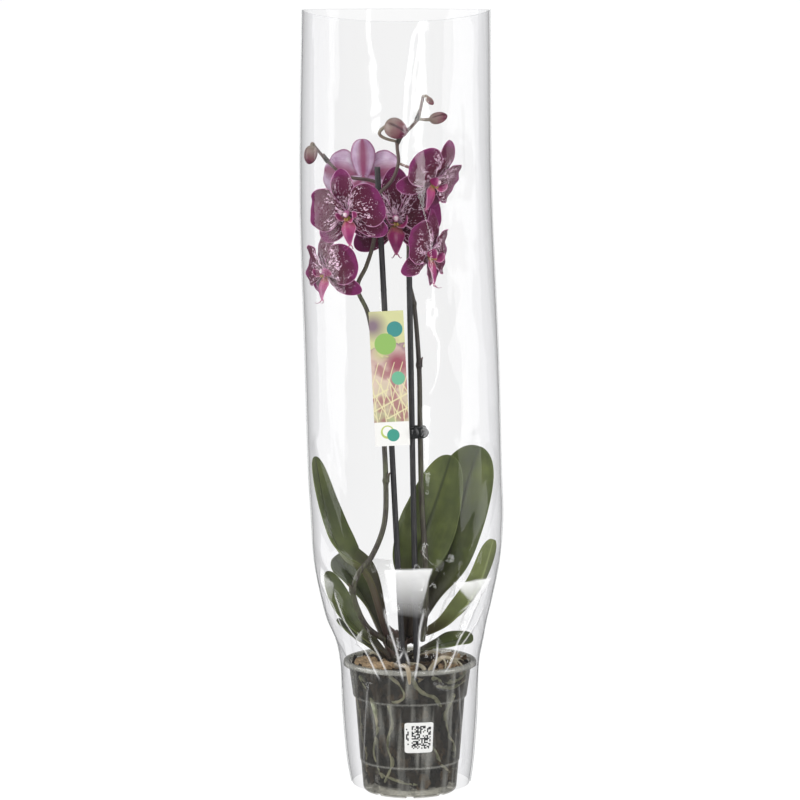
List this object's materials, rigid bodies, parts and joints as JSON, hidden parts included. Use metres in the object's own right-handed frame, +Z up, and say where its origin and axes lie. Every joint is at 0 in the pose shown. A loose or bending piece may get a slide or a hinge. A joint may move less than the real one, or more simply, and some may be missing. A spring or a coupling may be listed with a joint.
{
  "type": "potted orchid",
  "caption": "Moth orchid with two flower spikes on stakes, in a clear nursery pot of bark, inside an open-topped clear film sleeve.",
  "frame": {"origin": "middle of the pot's flat foot, on the surface that the pot stands on", "axes": "+Z up the plant, -Y the front that shows the pot's label, +X to the right when seen from the front"},
  "size_m": [0.1805, 0.1344, 0.704],
  "materials": {
    "clear_pot_plastic": "clear thermoformed polypropylene, slightly smoky",
    "bark": "damp bark pieces, matt",
    "bark_chip": "dry bark, matt, fibrous",
    "leaf": "waxy leaf, satin",
    "flower_stem": "smooth living stem, satin",
    "bud": "waxy bud, satin",
    "petal": "velvety petal, speckled",
    "lip": "waxy lip, satin",
    "aerial_root": "matt velvety root skin",
    "stake": "dark coated stake, satin",
    "clip": "moulded, gloss",
    "tag_card": "printed card, satin",
    "label_paper": "printed label, matt",
    "clear_film": "clear crisp film, gloss"
  },
  "bodies": {
    "root": {"pot": "clear_pot_plastic", "bark_mix": "bark", "bark_chip_front": "bark_chip", "bark_chip_left": "bark_chip", "bark_chip_right": "bark_chip", "crown": "flower_stem", "leaf_tall_left": "leaf", "leaf_back_left": "leaf", "leaf_low_left": "leaf", "leaf_lowest_left": "leaf", "leaf_front_right": "leaf", "leaf_back_right": "leaf", "leaf_mid_right": "leaf", "leaf_low_right": "leaf", "stake_left": "stake", "stake_right": "stake", "flower_spike_left": "flower_stem", "flower_spike_right": "flower_stem", "bud_large": "bud", "bud_small": "bud", "bud_tip": "bud", "bud_far_left": "bud", "flower_1_sepals": "petal", "flower_1_petal_left": "petal", "flower_1_petal_right": "petal", "flower_1_lip": "lip", "flower_1_column": "flower_stem", "flower_2_sepals": "petal", "flower_2_petal_left": "petal", "flower_2_petal_right": "petal", "flower_2_lip": "lip", "flower_2_column": "flower_stem", "flower_3_sepals": "petal", "flower_3_petal_left": "petal", "flower_3_petal_right": "petal", "flower_3_lip": "lip", "flower_3_column": "flower_stem", "flower_4_sepals": "petal", "flower_4_petal_left": "petal", "flower_4_petal_right": "petal", "flower_4_lip": "lip", "flower_4_column": "flower_stem", "flower_5_sepals": "petal", "flower_5_petal_left": "petal", "flower_5_petal_right": "petal", "flower_5_lip": "lip", "flower_5_column": "flower_stem", "flower_6_sepals": "petal", "flower_6_petal_left": "petal", "flower_6_petal_right": "petal", "flower_6_lip": "lip", "flower_6_column": "flower_stem", "root_over_rim": "aerial_root", "root_arch": "aerial_root", "clip_low": "clip", "clip_high": "clip", "plant_tag": "tag_card", "pot_label": "label_paper", "sleeve_front": "clear_film", "sleeve_back": "clear_film"}
  },
  "joints": []
}
